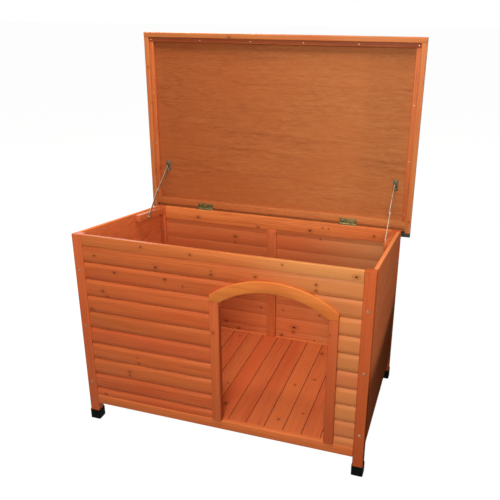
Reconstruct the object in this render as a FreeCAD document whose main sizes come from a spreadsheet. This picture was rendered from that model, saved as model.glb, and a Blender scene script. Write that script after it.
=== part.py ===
import FreeCAD, Part
import math
import os
import re
import Sketcher

# Wooden dog house with a flat roof that falls to the back and lifts as a lid.
# Frame: X to the right, Y to the back, Z up, millimetres; the doorway faces -Y.
# Z = 0 is the ground, X = 0 the middle of the house. The lid is drawn open.

os.makedirs("parts", exist_ok=True)
doc = FreeCAD.newDocument("DogHouse")
sheet = doc.addObject("Spreadsheet::Sheet", "Sizes")

# ---------------------------------------------------------------- driving sizes
SIZES = [
    # the house as a box; its middle stands forward of Y = 0 to centre the open part
    ("body_width", 980.0), ("body_depth", 624.0),
    ("front_height", 706.0), ("back_height", 616.0), ("body_middle", -17.175),
    # posts and foot caps
    ("post_size", 34.0), ("post_round", 4.0),
    ("cap_height", 35.0), ("cap_wall", 2.0), ("cap_floor", 3.0), ("cap_round", 5.0),
    # rails of the front and back walls
    ("rail_recess", 1.0), ("front_rail_thick", 18.0), ("top_rail_height", 36.0),
    ("back_rail_recess", 2.0), ("back_rail_thick", 22.0), ("back_rail_height", 48.0),
    ("bottom_rail_low", 67.0), ("floor_height", 101.0),
    # tongue-and-groove slats with a flat face and rounded shoulders
    ("slat_pitch", 60.0), ("slat_thick", 15.0), ("slat_recess", 3.0), ("slat_bulge", 5.5),
    ("slat_gap", 0.6), ("slat_shoulder", 17.0), ("tongue_height", 5.0), ("tongue_thick", 3.0), ("tongue_inset", 3.5),
    ("tongue_play", 0.3),
    # doorway: jambs and arched head
    ("door_inset", 302.0), ("door_width", 346.0), ("jamb_width", 31.0),
    ("arch_below_rail", 38.0), ("arch_rise", 57.0), ("arch_band", 37.0),
    ("frame_thick", 22.0), ("frame_proud", 4.0), ("frame_round", 4.0),
    # side panels, the blocks that carry the stays, the batten inside the back wall
    ("panel_thick", 12.0), ("panel_recess", 1.5),
    ("block_thick", 20.0), ("block_height", 27.0), ("block_drop", 4.0), ("block_length", 201.0),
    ("wall_batten_width", 36.0), ("wall_batten_thick", 12.0),
    # floor
    ("plank_margin", 5.0), ("plank_gap", 2.0), ("plank_thick", 12.0), ("plank_play", 1.0),
    ("bearer_width", 20.0),
    # lid, measured along the lid from the hinge axis and across from the axis up
    ("lid_side_overhang", 30.0), ("lid_front_overhang", 37.3), ("lid_rear", 12.0), ("lid_lean", 0.5),
    ("fascia_thick", 18.0), ("fascia_hang", 8.0), ("fascia_round", 3.0),
    ("batten_width", 16.0), ("batten_thick", 16.0), ("batten_start", 4.0), ("back_batten_width", 25.0),
    ("deck_thick", 9.0), ("felt_thick", 2.5), ("felt_flap", 26.0),
    # butt hinges
    ("hinge_inset", 200.0), ("hinge_length", 64.0), ("leaf_width", 20.0), ("leaf_thick", 1.2),
    ("axis_back", 3.2), ("axis_lift", 1.8), ("knuckle_radius", 2.6), ("knuckle_gap", 0.4),
    ("hinge_pin_radius", 1.25), ("hinge_pin_play", 0.05),
    # folding lid stays
    ("knee_past", 7.2), ("arm_width", 10.0), ("arm_thick", 2.0), ("arm_gap", 0.4),
    ("arm_clear", 2.5), ("stay_pivot_back", 171.0), ("stay_pivot_drop", 19.0),
    ("stay_lid_along", 160.0), ("stay_lid_across", 6.0), ("stay_pin_radius", 2.4),
    ("stay_pin_play", 0.06), ("stay_head_radius", 4.0), ("stay_head_thick", 1.2),
    ("bracket_length", 40.0), ("bracket_width", 18.0), ("bracket_thick", 2.0),
    # screws and nails
    ("screw_radius", 4.0), ("screw_head", 1.4), ("slot_width", 1.1), ("slot_depth", 0.8),
    ("screw_low", 154.0), ("screw_mid", 376.0), ("screw_high", 582.0),
    ("inner_screw_high", 515.0), ("inner_screw_low", 230.0),
    ("small_screw_radius", 2.6), ("small_screw_head", 0.8), ("leaf_screw_head", 0.4),
    ("nail_radius", 1.7), ("nail_head", 0.5), ("nail_spacing", 196.0),
]
for row, (alias, value) in enumerate(SIZES, 1):
    sheet.set("A%d" % row, str(value))
    sheet.setAlias("A%d" % row, alias)
doc.recompute()
ALIASES = {alias for alias, value in SIZES}

# Lengths worked out from the driving sizes, as text, so that features stay bound to them.
DERIVED = {
    "half_width": "body_width / 2",
    "half_depth": "body_depth / 2",
    "roof_fall": "((front_height - back_height) / body_depth)",
    "steep": "sqrt(1 + roof_fall ^ 2)",
    "inner_post": "(half_width - post_size)",
    "door_middle": "(half_width - door_inset)",
    "hinge_offset": "(half_width - hinge_inset)",
    "between_posts": "(body_width - 2 * post_size)",
    "front_rail_in": "(0 - half_depth + rail_recess + front_rail_thick)",
    "back_rail_out": "(half_depth - back_rail_recess)",
    "back_rail_in": "(back_rail_out - back_rail_thick)",
    "front_slat_in": "(0 - half_depth + slat_recess + slat_thick)",
    "back_slat_in": "(half_depth - slat_recess - slat_thick)",
    "front_rail_low": "(front_height - top_rail_height)",
    "back_rail_low": "(back_height + 2 * roof_fall - back_rail_height)",
    "slat_edge": "(slat_thick - slat_bulge)",
    "slat_upper": "(slat_pitch - slat_shoulder)",
    "slat_curve": "(((slat_shoulder - slat_gap / 2) ^ 2 + slat_bulge ^ 2) / (2 * slat_bulge))",
    "arch_spring": "(front_rail_low - arch_below_rail - arch_band - arch_rise)",
    "arch_inner": "(((door_width / 2) ^ 2 + arch_rise ^ 2) / (2 * arch_rise))",
    "arch_outer": "(arch_inner + arch_band)",
    "arch_centre": "(arch_spring + arch_rise - arch_inner)",
    "frame_half": "(door_width / 2 + jamb_width)",
    "arch_shoulder": "(arch_centre + sqrt(arch_outer ^ 2 - frame_half ^ 2))",
    "frame_front": "(0 - half_depth - frame_proud)",
    "frame_in": "(frame_front + frame_thick)",
    "panel_out": "(half_width - panel_recess)",
    "panel_in": "(panel_out - panel_thick)",
    "plank_low": "(floor_height - plank_thick)",
    "plank_pitch": "((panel_in - plank_margin + plank_gap / 2) * 2 / 15)",
    "block_face": "(panel_in - block_thick)",
    "lid_half": "(half_width + lid_side_overhang)",
    "lid_front": "((body_depth + axis_back) * steep + lid_front_overhang)",
    "lid_under": "axis_lift",
    "rim_low": "(axis_lift - fascia_hang)",
    "deck_low": "(axis_lift + batten_thick)",
    "deck_top": "(deck_low + deck_thick)",
    "inner_lid": "(lid_half - fascia_thick)",
    "inner_front": "(lid_front - fascia_thick)",
    "lower_arm_out": "(block_face - arm_clear)",
    "lower_arm_in": "(lower_arm_out - arm_thick)",
    "upper_arm_out": "(lower_arm_in - arm_gap)",
    "upper_arm_in": "(upper_arm_out - arm_thick)",
    "stay_rise": "(axis_lift * steep - (axis_back + stay_pivot_back) * roof_fall"
                 " + stay_pivot_drop - stay_lid_across * sin(lid_lean)"
                 " + stay_lid_along * cos(lid_lean))",
    "stay_run": "(axis_back + stay_pivot_back + stay_lid_across * cos(lid_lean)"
                " + stay_lid_along * sin(lid_lean))",
    "arm_length": "sqrt((stay_rise ^ 2 + stay_run ^ 2) / 4 + knee_past ^ 2)",
}


def bound(text):
    """Spell a size expression out in spreadsheet cells."""
    def swap(match):
        word = match.group()
        if word in ALIASES:
            return "Sizes." + word
        if word in DERIVED:
            return "(" + bound(DERIVED[word]) + ")"
        return word
    return re.sub(r"[a-z]+(?:_[a-z]+)*", swap, str(text))


def size(text):
    """Value of a size expression."""
    return float(sheet.evalExpression(bound(text)))


def top_at(y):
    """Height of the sloping wall top at a distance behind the middle of the house."""
    return "(back_height + (half_depth - (%s)) * roof_fall)" % y


SLOPE = math.degrees(math.atan(size("roof_fall")))
AXIS_Y = size("half_depth + axis_back")
AXIS_Z = size(top_at("half_depth + axis_back") + " + axis_lift * steep")
MIDDLE = FreeCAD.Vector(0, size("body_middle"), 0)
AXIS = MIDDLE + FreeCAD.Vector(0, AXIS_Y, AXIS_Z)
X_AXIS = FreeCAD.Vector(1, 0, 0)
LID_TURN = FreeCAD.Rotation(X_AXIS, -size("lid_lean"))
LEAF_TURN = FreeCAD.Rotation(X_AXIS, 90 - SLOPE)
PARTS = []


# ---------------------------------------------------------------- building blocks
def origin_plane(body, role):
    return [f for f in body.Origin.OriginFeatures if f.Role == role][0]


def new_body(name):
    body = doc.addObject("PartDesign::Body", name)
    body.Label = name
    PARTS.append(body)
    return body


def place(body, at=("0", "0", "0"), base=MIDDLE, turn=FreeCAD.Rotation()):
    """Place a piece: at is bound to the sizes and counts from base; turn tilts lid pieces."""
    body.Placement = FreeCAD.Placement(base, turn)
    for axis, text in zip("xyz", at):
        start = "body_middle" if axis == "y" and base == MIDDLE else None
        if start or text != "0":
            offset = start or repr(getattr(base, axis))
            body.setExpression("Placement.Base." + axis, bound("%s + (%s)" % (offset, text)))
    return body


def pin_point(sketch, edge, end, name, x, y):
    """Tie one end of a sketch edge to two bound coordinates."""
    for kind, text in (("DistanceX", x), ("DistanceY", y)):
        label = name + kind[-1]
        index = sketch.addConstraint(Sketcher.Constraint(kind, edge, end, size(text)))
        sketch.renameConstraint(index, label)
        sketch.setExpression("Constraints." + label, bound(text))


def outline(sketch, points, arcs=None):
    """Closed outline through points; arcs gives, by segment, a radius and the centre's side.

    The side is +1 for a centre to the left of the way along the outline, -1 to the right.
    """
    arcs = arcs or {}
    tag = "c%d_" % sketch.GeometryCount
    spots = [FreeCAD.Vector(size(x), size(y), 0) for x, y in points]
    first = sketch.GeometryCount
    ends = []
    for i, start in enumerate(spots):
        stop = spots[(i + 1) % len(spots)]
        if i not in arcs:
            sketch.addGeometry(Part.LineSegment(start, stop), False)
            ends.append((1, 2))
            continue
        radius, side = size(arcs[i][0]), arcs[i][1]
        chord = stop - start
        normal = FreeCAD.Vector(-chord.y, chord.x, 0).normalize()
        away = math.sqrt(radius ** 2 - (chord.Length / 2) ** 2)
        centre = (start + stop) * 0.5 + normal * (side * away)
        begin, end = [math.atan2(p.y - centre.y, p.x - centre.x) for p in (start, stop)]
        if side < 0:
            begin, end = end, begin
        ends.append((1, 2) if side > 0 else (2, 1))
        ring = Part.Circle(centre, FreeCAD.Vector(0, 0, 1), radius)
        sweep = (end - begin) % (2 * math.pi)
        edge = sketch.addGeometry(Part.ArcOfCircle(ring, begin, begin + sweep), False)
        index = sketch.addConstraint(Sketcher.Constraint("Radius", edge, radius))
        label = "%sradius%d" % (tag, i)
        sketch.renameConstraint(index, label)
        sketch.setExpression("Constraints." + label, bound(arcs[i][0]))
    for i in range(len(spots)):
        after = (i + 1) % len(spots)
        sketch.addConstraint(Sketcher.Constraint(
            "Coincident", first + i, ends[i][1], first + after, ends[after][0]))
    for i, (x, y) in enumerate(points):
        pin_point(sketch, first + i, ends[i][0], "%sp%d" % (tag, i), x, y)


def circle(sketch, x, y, radius):
    """Circle with a bound centre and radius."""
    tag = "c%d_" % sketch.GeometryCount
    spot = FreeCAD.Vector(size(x), size(y), 0)
    edge = sketch.addGeometry(Part.Circle(spot, FreeCAD.Vector(0, 0, 1), size(radius)), False)
    pin_point(sketch, edge, 3, tag + "m", x, y)
    index = sketch.addConstraint(Sketcher.Constraint("Radius", edge, size(radius)))
    sketch.renameConstraint(index, tag + "radius")
    sketch.setExpression("Constraints." + tag + "radius", bound(radius))


def new_sketch(body, role, name, offset=None):
    sketch = body.newObject("Sketcher::SketchObject", name)
    sketch.AttachmentSupport = [(origin_plane(body, role), "")]
    sketch.MapMode = "FlatFace"
    if offset is not None:
        sketch.setExpression("AttachmentOffset.Base.z", bound(offset))
    return sketch


def pad(body, sketch, length, backwards=False):
    feature = body.newObject("PartDesign::Pad", body.Name + "_pad")
    feature.Profile = sketch
    feature.setExpression("Length", bound(length))
    feature.Reversed = backwards
    doc.recompute()
    return feature


def pocket(body, sketch):
    """Cut a sketch through the whole body, both ways."""
    before = body.Shape.Volume
    feature = body.newObject("PartDesign::Pocket", body.Name + "_cut")
    feature.Profile = sketch
    feature.Type = "ThroughAll"
    feature.Midplane = True
    doc.recompute()
    if body.Shape.Volume > before - 1e-3:
        raise RuntimeError("nothing was cut from " + body.Label)
    return feature


def round_edges(body, chosen, radius):
    """Fillet the edges that chosen picks from the newest feature."""
    tip = body.Tip
    names = ["Edge%d" % (i + 1) for i, edge in enumerate(tip.Shape.Edges) if chosen(edge)]
    feature = body.newObject("PartDesign::Fillet", body.Name + "_round")
    feature.Base = (tip, names)
    feature.setExpression("Radius", bound(radius))
    doc.recompute()
    return feature


def along(edge, axis):
    """True for a straight edge along one axis, 0 for X to 2 for Z."""
    a, b = edge.Vertexes[0].Point, edge.Vertexes[-1].Point
    return edge.Length > 1e-6 and abs(abs(b[axis] - a[axis]) - edge.Length) < 1e-6


def prism(name, role, points, length, at=("0", "0", "0"), arcs=None, **spot):
    """A pad of one outline. Planes: YZ grows to +X, XZ to +Y, XY to +Z."""
    body = new_body(name)
    sketch = new_sketch(body, role, name + "_profile")
    outline(sketch, points, arcs)
    pad(body, sketch, length, backwards=(role == "XZ_Plane"))
    place(body, at, **spot)
    return body


def rectangle(x0, y0, x1, y1):
    return [(x0, y0), (x1, y0), (x1, y1), (x0, y1)]


def wall_profile(y0, y1, low):
    """Side view of a wall piece whose top follows the fall of the roof."""
    return [(y0, low), (y1, low), (y1, top_at(y1)), (y0, top_at(y0))]


def group(name, shapes):
    """One node of several loose solids, such as the screws."""
    feature = doc.addObject("Part::Feature", name)
    feature.Label = name
    feature.Shape = Part.makeCompound(shapes)
    feature.Placement = FreeCAD.Placement()
    PARTS.append(feature)
    return feature


# ---------------------------------------------------------------- posts and feet
# Square posts with rounded edges; the top is cut to the fall of the roof.
CORNERS = (("front_left", -1, -1), ("front_right", 1, -1),
           ("back_left", -1, 1), ("back_right", 1, 1))
for corner, side, end in CORNERS:
    near = "-half_depth" if end < 0 else "half_depth - post_size"
    far = "-half_depth + post_size" if end < 0 else "half_depth"
    left = "-half_width" if side < 0 else "inner_post"
    post = prism("post_" + corner, "YZ_Plane", wall_profile(near, far, "cap_floor"),
                 "post_size", at=(left, "0", "0"))
    round_edges(post, lambda edge: along(edge, 2), "post_round")

# Plastic cap: a square cup that the foot of the post stands in.
for corner, side, end in CORNERS:
    cap = new_body("foot_cap_" + corner)
    sketch = new_sketch(cap, "XY_Plane", cap.Name + "_outside")
    half = "post_size / 2 + cap_wall"
    outline(sketch, rectangle("-(%s)" % half, "-(%s)" % half, half, half))
    pad(cap, sketch, "cap_height")
    round_edges(cap, lambda edge: along(edge, 2), "cap_round")
    socket = new_sketch(cap, "XY_Plane", cap.Name + "_socket", "cap_floor")
    outline(socket, rectangle("-post_size / 2", "-post_size / 2", "post_size / 2", "post_size / 2"))
    cut = cap.newObject("PartDesign::Pocket", cap.Name + "_cup")
    cut.Profile = socket
    cut.Type = "ThroughAll"
    cut.Reversed = True
    doc.recompute()
    place(cap, ("%d * (half_width - post_size / 2)" % side,
                "%d * (half_depth - post_size / 2)" % end, "0"))

# ---------------------------------------------------------------- front wall
front_top_rail = prism(
    "front_top_rail", "YZ_Plane",
    wall_profile("-half_depth + rail_recess", "front_rail_in", "front_rail_low"),
    "between_posts", at=("-inner_post", "0", "0"))
front_bottom_rail = prism(
    "front_bottom_rail", "YZ_Plane",
    rectangle("-half_depth + rail_recess", "bottom_rail_low", "front_rail_in", "floor_height"),
    "between_posts", at=("-inner_post", "0", "0"))


def slat_profile(inner, face, low, high, groove, tongue):
    """Section of a slat: flat on both sides, with rounded shoulders above and below on the
    outer side, a groove below and a tongue above.

    inner is the Y of the inner side, face is -1 or +1 for where the outer side looks, and
    low and high are heights above the bottom of a full slat.
    """
    def out(depth):
        return "%s + %d * (%s)" % (inner, face, depth)

    def round_depth(height):
        if size("slat_shoulder") <= size(height) <= size("slat_upper"):
            return "slat_thick"
        turn = "slat_upper" if size(height) > size("slat_upper") else "slat_shoulder"
        return "slat_thick - slat_curve + sqrt(slat_curve ^ 2 - (%s - %s) ^ 2)" % (height, turn)

    points = [(out("0"), low)]
    points += [(out("0"), high)]
    if tongue:
        points += [
            (out("tongue_inset"), high), (out("tongue_inset"), high + " + tongue_height"),
            (out("tongue_inset + tongue_thick"), high + " + tongue_height"),
            (out("tongue_inset + tongue_thick"), high)]
    turns = [turn for turn in ("slat_upper", "slat_shoulder")
             if size(low) + 0.5 < size(turn) < size(high) - 0.5]
    stops = [high] + turns + [low]
    arcs = {}
    for upper, lower in zip(stops, stops[1:]):
        middle = (size(upper) + size(lower)) / 2
        if not size("slat_shoulder") < middle < size("slat_upper"):
            arcs[len(points)] = ("slat_curve", -face)
        points.append((out(round_depth(upper)), upper))
    points.append((out(round_depth(low)), low))
    if groove:
        points += [
            (out("tongue_inset + tongue_thick + tongue_play"), low),
            (out("tongue_inset + tongue_thick + tongue_play"), low + " + tongue_height + slat_gap"),
            (out("tongue_inset - tongue_play"), low + " + tongue_height + slat_gap"),
            (out("tongue_inset - tongue_play"), low)]
    return points, arcs


def doorway_outline(sketch):
    """Outside of the door frame: upright sides below an arched top."""
    outline(sketch, [
        ("door_middle - frame_half", "0"), ("door_middle + frame_half", "0"),
        ("door_middle + frame_half", "arch_shoulder"),
        ("door_middle - frame_half", "arch_shoulder")],
        {2: ("arch_outer", 1)})


# Rows of slats from the top rail down; the last one is ripped to meet the bottom rail.
rows = int(math.ceil((size("front_rail_low") - size("floor_height")) / size("slat_pitch") - 1e-6))
for row in range(1, rows + 1):
    base = "(front_rail_low - %d * slat_pitch)" % row
    last = row == rows
    low = "(floor_height - %s)" % base if last else "slat_gap / 2"
    points, arcs = slat_profile("front_slat_in", -1, low, "slat_pitch - slat_gap / 2",
                                groove=not last, tongue=row > 1)
    slat = prism("front_slat_%02d" % row, "YZ_Plane", points, "between_posts",
                 at=("-inner_post", "0", base), arcs=arcs)
    if size(base) < size("arch_centre + arch_outer"):
        hole = new_sketch(slat, "XZ_Plane", slat.Name + "_doorway")
        hole.setExpression("AttachmentOffset.Base.x", bound("inner_post"))
        hole.setExpression("AttachmentOffset.Base.y", bound("0 - %s" % base))
        doorway_outline(hole)
        pocket(slat, hole)

# Door frame: two jambs on the bottom rail and an arched head, proud of the posts.
for side, name in ((-1, "left"), (1, "right")):
    x0 = "door_middle + %d * (door_width / 2)" % side
    x1 = "door_middle + %d * frame_half" % side
    jamb = prism("door_jamb_" + name, "XY_Plane",
                 rectangle(x0 if side > 0 else x1, "frame_front",
                           x1 if side > 0 else x0, "frame_in"),
                 "arch_spring - floor_height", at=("0", "0", "floor_height"))
    front = size("frame_front")
    round_edges(jamb, lambda edge: along(edge, 2) and abs(edge.CenterOfMass.y - front) < 0.01,
                "frame_round")
door_arch = prism(
    "door_arch", "XZ_Plane",
    [("door_middle - frame_half", "arch_spring"), ("door_middle - door_width / 2", "arch_spring"),
     ("door_middle + door_width / 2", "arch_spring"), ("door_middle + frame_half", "arch_spring"),
     ("door_middle + frame_half", "arch_shoulder"), ("door_middle - frame_half", "arch_shoulder")],
    "frame_thick", at=("0", "frame_front", "0"),
    arcs={1: ("arch_inner", -1), 4: ("arch_outer", 1)})

# ---------------------------------------------------------------- back wall
back_top_rail = prism(
    "back_top_rail", "YZ_Plane", wall_profile("back_rail_in", "back_rail_out", "back_rail_low"),
    "between_posts", at=("-inner_post", "0", "0"))
back_bottom_rail = prism(
    "back_bottom_rail", "YZ_Plane",
    rectangle("back_rail_in", "bottom_rail_low", "back_rail_out", "floor_height"),
    "between_posts", at=("-inner_post", "0", "0"))
back_wall_batten = prism(
    "back_wall_batten", "YZ_Plane",
    rectangle("back_slat_in - wall_batten_thick", "floor_height", "back_slat_in", "back_rail_low"),
    "wall_batten_width", at=("-wall_batten_width / 2", "0", "0"))

# The back slats lie on the front wall's lines, cut off under the top rail and at the floor.
slats = []
for row in range(1, rows + 1):
    base = "(front_rail_low - %d * slat_pitch)" % row
    foot, head = size(base), size(base) + size("slat_pitch")
    if foot >= size("back_rail_low") or head <= size("floor_height"):
        continue
    top_cut, bottom_cut = head > size("back_rail_low"), foot < size("floor_height")
    low = "(floor_height - %s)" % base if bottom_cut else "slat_gap / 2"
    high = "(back_rail_low - %s)" % base if top_cut else "slat_pitch - slat_gap / 2"
    groove_fits = not bottom_cut and (not top_cut or size(high) > 3 * size("tongue_height"))
    points, arcs = slat_profile("back_slat_in", 1, low, high, groove_fits, not top_cut)
    slats.append((base, points, arcs))
back_slats = new_body("back_slats")
for base, points, arcs in slats:
    sketch = new_sketch(back_slats, "YZ_Plane", "back_slat_profile")
    sketch.setExpression("AttachmentOffset.Base.y", bound(base))
    outline(sketch, points, arcs)
    pad(back_slats, sketch, "between_posts")
place(back_slats, ("-inner_post", "0", "0"))

# ---------------------------------------------------------------- side walls and floor
for side, name in ((-1, "left"), (1, "right")):
    panel_start = "-panel_out" if side < 0 else "panel_in"
    prism("side_panel_" + name, "YZ_Plane",
          wall_profile("-half_depth + post_size", "half_depth - post_size", "floor_height"),
          "panel_thick", at=(panel_start, "0", "0"))
    # Block inside the panel, against the back post: the stay's lower pivot goes into it.
    rear, front = "half_depth - post_size", "half_depth - post_size - block_length"
    prism("stay_block_" + name, "YZ_Plane",
          [(front, top_at(front) + " - block_drop - block_height"),
           (rear, top_at(rear) + " - block_drop - block_height"),
           (rear, top_at(rear) + " - block_drop"), (front, top_at(front) + " - block_drop")],
          "block_thick", at=("-panel_in" if side < 0 else "block_face", "0", "0"))

floor_bearers = new_body("floor_bearers")
for start in ("front_rail_in", "-bearer_width / 2", "back_rail_in - bearer_width"):
    sketch = new_sketch(floor_bearers, "YZ_Plane", "bearer_profile")
    outline(sketch, rectangle(start, "bottom_rail_low", start + " + bearer_width", "plank_low"))
    pad(floor_bearers, sketch, "between_posts")
place(floor_bearers, ("-inner_post", "0", "0"))

# Fifteen planks run front to back and share the width between the side walls, one of
# them on the middle line; the outer ones stop at the posts.
planks = []
floor_planks = new_body("floor_planks")
each_side = 7
plank_sketch = new_sketch(floor_planks, "XY_Plane", "plank_outlines")
for i in range(-each_side, each_side + 1):
    middle = "%d * plank_pitch" % i
    half = "(plank_pitch - plank_gap) / 2"
    outer = size("%s * plank_pitch + %s" % (abs(i), half)) > size("inner_post") - 1e-6
    front = "-half_depth + post_size + plank_play" if outer else "front_rail_in"
    back = "half_depth - post_size - plank_play" if outer else "back_rail_in"
    outline(plank_sketch, rectangle("%s - %s" % (middle, half), front,
                                    "%s + %s" % (middle, half), back))
pad(floor_planks, plank_sketch, "plank_thick")
place(floor_planks, ("0", "0", "plank_low"))

# ---------------------------------------------------------------- lid
# Lid pieces are drawn with Y across the lid (up when it is shut) and Z along it from the axis.
LID = dict(base=AXIS, turn=LID_TURN)
inner_width = "(2 * inner_lid)"
prism("lid_deck", "YZ_Plane", rectangle("deck_low", "-lid_rear", "deck_top", "inner_front"),
      inner_width, at=("-inner_lid", "0", "0"), **LID)
prism("lid_felt", "YZ_Plane",
      rectangle("deck_top", "-lid_rear - felt_flap", "deck_top + felt_thick", "lid_front"),
      "2 * lid_half", at=("-lid_half", "0", "0"), **LID)
prism("lid_batten_front", "YZ_Plane",
      rectangle("lid_under", "inner_front - batten_width", "deck_low", "inner_front"),
      inner_width, at=("-inner_lid", "0", "0"), **LID)
prism("lid_batten_back", "YZ_Plane",
      rectangle("lid_under", "batten_start", "deck_low", "batten_start + back_batten_width"),
      inner_width, at=("-inner_lid", "0", "0"), **LID)
for side, name in ((-1, "left"), (1, "right")):
    prism("lid_batten_" + name, "YZ_Plane",
          rectangle("lid_under", "batten_start + back_batten_width",
                    "deck_low", "inner_front - batten_width"),
          "batten_width",
          at=("-inner_lid" if side < 0 else "inner_lid - batten_width", "0", "0"), **LID)
    board = prism("lid_fascia_" + name, "YZ_Plane",
                  rectangle("rim_low", "-lid_rear", "deck_top", "inner_front"), "fascia_thick",
                  at=("-lid_half" if side < 0 else "inner_lid", "0", "0"), **LID)
    rim = size("rim_low")
    round_edges(board, lambda edge: along(edge, 2) and abs(edge.CenterOfMass.y - rim) < 0.01,
                "fascia_round")
front_board = prism("lid_fascia_front", "YZ_Plane",
                    rectangle("rim_low", "inner_front", "deck_top", "lid_front"),
                    "2 * lid_half", at=("-lid_half", "0", "0"), **LID)
rim = size("rim_low")
round_edges(front_board, lambda edge: along(edge, 0) and abs(edge.CenterOfMass.y - rim) < 0.01,
            "fascia_round")


# ---------------------------------------------------------------- hinges
def hinge_leaf(name, side, lid):
    """A leaf with its knuckles: two outer ones on the house leaf, the middle one on the lid's."""
    turn = LID_TURN if lid else LEAF_TURN
    third = "(hinge_length / 3)"
    low, high = ("axis_lift - leaf_thick", "axis_lift") if lid else \
                ("-axis_lift", "leaf_thick - axis_lift")
    plate_start = "knuckle_radius + knuckle_gap"
    body = new_body(name)
    sketch = new_sketch(body, "YZ_Plane", name + "_plate")
    outline(sketch, rectangle(low, plate_start, high, "leaf_width"))
    pad(body, sketch, "hinge_length")
    spans = [(third + " + knuckle_gap / 2", third + " - knuckle_gap")] if lid else \
            [("0", third + " - knuckle_gap / 2"),
             ("2 * %s + knuckle_gap / 2" % third, third + " - knuckle_gap / 2")]
    for start, width in spans:
        tab = new_sketch(body, "YZ_Plane", name + "_tab", start)
        outline(tab, rectangle(low, "0", high, plate_start))
        pad(body, tab, width)
        barrel = new_sketch(body, "YZ_Plane", name + "_barrel", start)
        circle(barrel, "0", "0", "knuckle_radius")
        pad(body, barrel, width)
    bore = new_sketch(body, "YZ_Plane", name + "_bore")
    circle(bore, "0", "0", "hinge_pin_radius + hinge_pin_play")
    pocket(body, bore)
    place(body, ("%d * hinge_offset - hinge_length / 2" % side, "0", "0"), base=AXIS, turn=turn)
    return body


for side, name in ((-1, "left"), (1, "right")):
    hinge_leaf("hinge_house_leaf_" + name, side, lid=False)
    hinge_leaf("hinge_lid_leaf_" + name, side, lid=True)
    pin = new_body("hinge_pin_" + name)
    sketch = new_sketch(pin, "YZ_Plane", pin.Name + "_profile")
    circle(sketch, "0", "0", "hinge_pin_radius")
    pad(pin, sketch, "hinge_length")
    place(pin, ("%d * hinge_offset - hinge_length / 2" % side, "0", "0"), base=AXIS)

# ---------------------------------------------------------------- lid stays
# Two arms of one length between the pivot on the block and the pivot under the lid.
# With the lid up the knee stands just past straight, which holds it; it folds down inside.
HOUSE_PIVOT = MIDDLE + FreeCAD.Vector(
    0, size("half_depth - stay_pivot_back"),
    size(top_at("half_depth - stay_pivot_back") + " - stay_pivot_drop"))
LID_PIVOT = AXIS + LID_TURN.multVec(
    FreeCAD.Vector(0, size("stay_lid_across"), size("stay_lid_along")))


def knee_between(lower, upper, past):
    """Where two equal arms meet: past is +1 above and before the line of pivots, -1 below."""
    reach = upper - lower
    away = math.sqrt(size("arm_length") ** 2 - (reach.Length / 2) ** 2)
    across = FreeCAD.Vector(0, -reach.z, reach.y).normalize()
    return (lower + upper) * 0.5 + across * (past * away)


def turn_of(start, stop):
    """Angle about +X from the Y axis to the line from start to stop, in degrees."""
    return math.degrees(math.atan2(stop.z - start.z, stop.y - start.y))


def stay_arm(name, low_x, pivot, angle, bores, rivets):
    """A flat arm with round ends, drawn along Y from its pivot; rivets are head positions."""
    body = new_body(name)
    half = "arm_width / 2"
    sketch = new_sketch(body, "YZ_Plane", name + "_profile")
    outline(sketch, rectangle("0", "-" + half, "arm_length", half))
    pad(body, sketch, "arm_thick")
    for y in ("0", "arm_length"):
        end = new_sketch(body, "YZ_Plane", name + "_end")
        circle(end, y, "0", half)
        pad(body, end, "arm_thick")
    for y in bores:
        hole = new_sketch(body, "YZ_Plane", name + "_bore")
        circle(hole, y, "0", "stay_pin_radius + stay_pin_play")
        pocket(body, hole)
    for y, x in rivets:
        head = new_sketch(body, "YZ_Plane", name + "_rivet", x)
        circle(head, y, "0", "stay_head_radius")
        pad(body, head, "stay_head_thick")
    place(body, (low_x, "0", "0"), base=FreeCAD.Vector(0, pivot.y, pivot.z),
          turn=FreeCAD.Rotation(X_AXIS, angle))
    return body


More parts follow.
